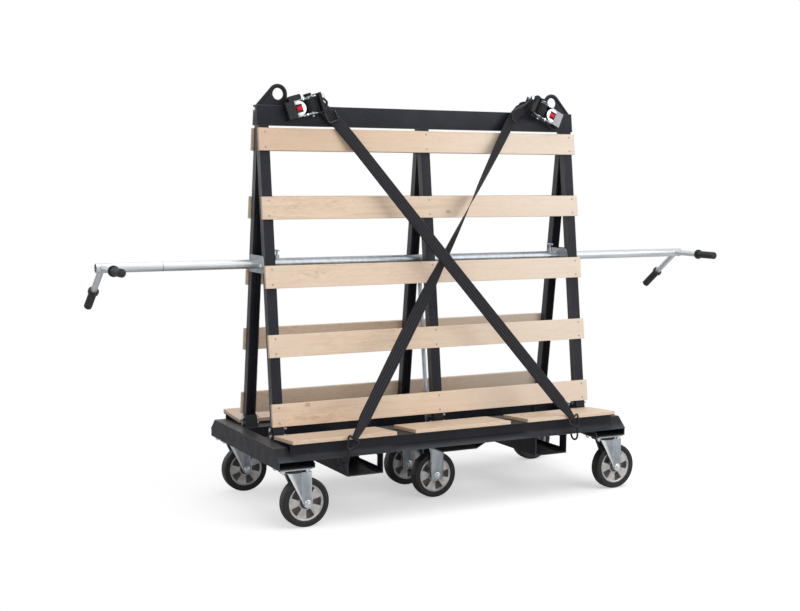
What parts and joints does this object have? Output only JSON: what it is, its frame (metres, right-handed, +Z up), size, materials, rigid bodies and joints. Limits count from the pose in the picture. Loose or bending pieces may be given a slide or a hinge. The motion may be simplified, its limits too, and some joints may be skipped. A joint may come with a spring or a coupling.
{
  "type": "plasterboard trolley",
  "caption": "Steel trolley for carrying boards upright, with an A-frame rack of wooden planks, a wooden deck, casters, sliding push handles and crossed ratchet straps.",
  "frame": {"origin": "On the floor under the middle of the base.", "axes": "+X along the trolley to the right, -Y towards the strapped side, +Z up."},
  "size_m": [2.86, 0.8041, 1.7605],
  "materials": {
    "frame_paint": "satin",
    "wood": "satin",
    "zinc": "satin",
    "rim_metal": "satin",
    "tyre_rubber": "matte",
    "grip_rubber": "matte",
    "webbing": "matte",
    "black_wire": "gloss",
    "cover_plastic": "matte",
    "button_red": "gloss"
  },
  "bodies": {
    "trolley": {"end_members": "frame_paint", "side_beam_rear": "frame_paint", "side_beam_front": "frame_paint", "inner_rails": "frame_paint", "fork_pockets": "frame_paint", "centre_cross_member": "frame_paint", "deck_ledges": "frame_paint", "deck_boards_rear": "wood", "deck_boards_front": "wood", "a_frame_left": "frame_paint", "a_frame_middle": "frame_paint", "a_frame_right": "frame_paint", "leg_shoes": "frame_paint", "foot_bolts": "zinc", "top_beam": "frame_paint", "lifting_eyes": "frame_paint", "load_planks": "wood", "handle_brackets": "zinc", "guide_tube": "zinc", "swivel_plates": "zinc", "fixed_forks": "zinc", "fixed_axles": "zinc", "ratchet_frames": "zinc", "retractor_covers": "cover_plastic", "straps": "webbing", "strap_hooks": "black_wire"},
    "caster_front_left": {"fork_front_left": "zinc", "axle_front_left": "zinc"},
    "wheel_front_left": {"rim_front_left": "rim_metal", "tyre_front_left": "tyre_rubber"},
    "caster_front_right": {"fork_front_right": "zinc", "axle_front_right": "zinc"},
    "wheel_front_right": {"rim_front_right": "rim_metal", "tyre_front_right": "tyre_rubber"},
    "caster_rear_left": {"fork_rear_left": "zinc", "axle_rear_left": "zinc"},
    "wheel_rear_left": {"rim_rear_left": "rim_metal", "tyre_rear_left": "tyre_rubber"},
    "caster_rear_right": {"fork_rear_right": "zinc", "axle_rear_right": "zinc"},
    "wheel_rear_right": {"rim_rear_right": "rim_metal", "tyre_rear_right": "tyre_rubber"},
    "wheel_middle_front": {"rim_middle_front": "rim_metal", "tyre_middle_front": "tyre_rubber"},
    "wheel_middle_rear": {"rim_middle_rear": "rim_metal", "tyre_middle_rear": "tyre_rubber"},
    "handle_left": {"handle_tube_left": "zinc", "grips_left": "grip_rubber"},
    "lock_left": {"lock_screw_left": "zinc"},
    "handle_right": {"handle_tube_right": "zinc", "grips_right": "grip_rubber"},
    "lock_right": {"lock_screw_right": "zinc"},
    "lever_left": {"ratchet_lever_left": "black_wire"},
    "reel_left": {"spool_left": "webbing"},
    "button_left": {"release_button_left": "button_red"},
    "hook_left": {"unit_hook_left": "black_wire"},
    "lever_right": {"ratchet_lever_right": "black_wire"},
    "reel_right": {"spool_right": "webbing"},
    "button_right": {"release_button_right": "button_red"},
    "hook_right": {"unit_hook_right": "black_wire"}
  },
  "joints": [
    {"name": "swivel_front_left", "type": "hinge", "parent": "trolley", "child": "caster_front_left", "pos_m": [-0.752, -0.334, 0.241], "axis": [0, 0, 1], "continuous": true},
    {"name": "roll_front_left", "type": "hinge", "parent": "caster_front_left", "child": "wheel_front_left", "pos_m": [-0.697, -0.334, 0.1], "axis": [0, 1, 0], "continuous": true},
    {"name": "swivel_front_right", "type": "hinge", "parent": "trolley", "child": "caster_front_right", "pos_m": [0.752, -0.334, 0.241], "axis": [0, 0, 1], "continuous": true},
    {"name": "roll_front_right", "type": "hinge", "parent": "caster_front_right", "child": "wheel_front_right", "pos_m": [0.807, -0.334, 0.1], "axis": [0, 1, 0], "continuous": true},
    {"name": "swivel_rear_left", "type": "hinge", "parent": "trolley", "child": "caster_rear_left", "pos_m": [-0.752, 0.334, 0.241], "axis": [0, 0, 1], "continuous": true},
    {"name": "roll_rear_left", "type": "hinge", "parent": "caster_rear_left", "child": "wheel_rear_left", "pos_m": [-0.697, 0.334, 0.1], "axis": [0, 1, 0], "continuous": true},
    {"name": "swivel_rear_right", "type": "hinge", "parent": "trolley", "child": "caster_rear_right", "pos_m": [0.752, 0.334, 0.241], "axis": [0, 0, 1], "continuous": true},
    {"name": "roll_rear_right", "type": "hinge", "parent": "caster_rear_right", "child": "wheel_rear_right", "pos_m": [0.807, 0.334, 0.1], "axis": [0, 1, 0], "continuous": true},
    {"name": "roll_middle_front", "type": "hinge", "parent": "trolley", "child": "wheel_middle_front", "pos_m": [0, -0.13, 0.1], "axis": [0, 1, 0], "continuous": true},
    {"name": "roll_middle_rear", "type": "hinge", "parent": "trolley", "child": "wheel_middle_rear", "pos_m": [0, 0.13, 0.1], "axis": [0, 1, 0], "continuous": true},
    {"name": "slide_handle_left", "type": "slide", "parent": "trolley", "child": "handle_left", "axis": [1, 0, 0], "range_m": [0, 0.6]},
    {"name": "turn_lock_left", "type": "hinge", "parent": "trolley", "child": "lock_left", "pos_m": [-0.675, 0, 1.064], "axis": [0, 0, 1], "range_deg": [0, 360]},
    {"name": "slide_handle_right", "type": "slide", "parent": "trolley", "child": "handle_right", "axis": [-1, 0, 0], "range_m": [0, 0.6]},
    {"name": "turn_lock_right", "type": "hinge", "parent": "trolley", "child": "lock_right", "pos_m": [0.675, 0, 1.064], "axis": [0, 0, 1], "range_deg": [0, 360]},
    {"name": "swing_lever_left", "type": "hinge", "parent": "trolley", "child": "lever_left", "pos_m": [-0.543, -0.04489, 1.674], "axis": [0.2756, -0.1176, -0.954], "range_deg": [0, 100]},
    {"name": "turn_reel_left", "type": "hinge", "parent": "trolley", "child": "reel_left", "pos_m": [-0.543, -0.04489, 1.674], "axis": [-0.2756, 0.1176, 0.954], "continuous": true},
    {"name": "press_button_left", "type": "slide", "parent": "trolley", "child": "button_left", "axis": [0, 0.9925, -0.1224], "range_m": [0, 0.004], "stiffness_N_per_m": 400},
    {"name": "swing_hook_left", "type": "hinge", "parent": "trolley", "child": "hook_left", "pos_m": [-0.4881, -0.03991, 1.71441], "axis": [0, -0.9925, 0.1224], "range_deg": [0, 40]},
    {"name": "swing_lever_right", "type": "hinge", "parent": "trolley", "child": "lever_right", "pos_m": [0.583, -0.04342, 1.686], "axis": [0.4617, 0.1086, 0.8803], "range_deg": [0, 100]},
    {"name": "turn_reel_right", "type": "hinge", "parent": "trolley", "child": "reel_right", "pos_m": [0.583, -0.04342, 1.686], "axis": [-0.4617, -0.1086, -0.8803], "continuous": true},
    {"name": "press_button_right", "type": "slide", "parent": "trolley", "child": "button_right", "axis": [0, 0.9925, -0.1224], "range_m": [0, 0.004], "stiffness_N_per_m": 400},
    {"name": "swing_hook_right", "type": "hinge", "parent": "trolley", "child": "hook_right", "pos_m": [0.53731, -0.04811, 1.73781], "axis": [0, 0.9925, -0.1224], "range_deg": [-20, 40]}
  ]
}
